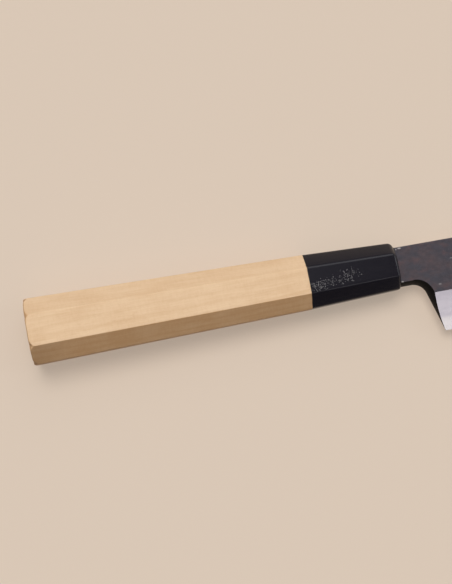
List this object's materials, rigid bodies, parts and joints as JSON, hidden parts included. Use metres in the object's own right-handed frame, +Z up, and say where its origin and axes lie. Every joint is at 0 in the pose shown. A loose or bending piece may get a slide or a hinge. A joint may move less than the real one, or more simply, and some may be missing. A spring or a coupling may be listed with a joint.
{
  "type": "yanagiba knife",
  "caption": "Single-bevel slicing knife: a long slim blade with dark forged flats, bright ground bevel and hollow back, in a tapered octagonal wood handle with a black horn ferrule.",
  "frame": {"origin": "middle of the wooden handle's broad flat that the knife lies on", "axes": "+X along the knife to the tip, +Y across it to the spine, +Z up from the hollow side to the bevelled side"},
  "size_m": [0.4104, 0.0397, 0.021],
  "materials": {
    "ho_wood": "fine straight-grained magnolia wood, sanded and oiled, satin",
    "black_horn": "black buffalo horn with faint pale flecks, polished",
    "dowel_wood": "plain turned hardwood, hidden",
    "resin": "cured amber resin, hidden",
    "seal": "black sealing resin",
    "forged_iron": "soft iron with dark forge scale on the flat and a ground, hazy bevel",
    "hard_steel": "ground carbon steel, bright at the edge and hollow on the back"
  },
  "bodies": {
    "root": {"handle_body": "ho_wood", "ferrule": "black_horn", "dowel": "dowel_wood", "tang_resin": "resin", "mouth_seal": "seal", "blade_iron": "forged_iron", "blade_steel": "hard_steel"}
  },
  "joints": []
}
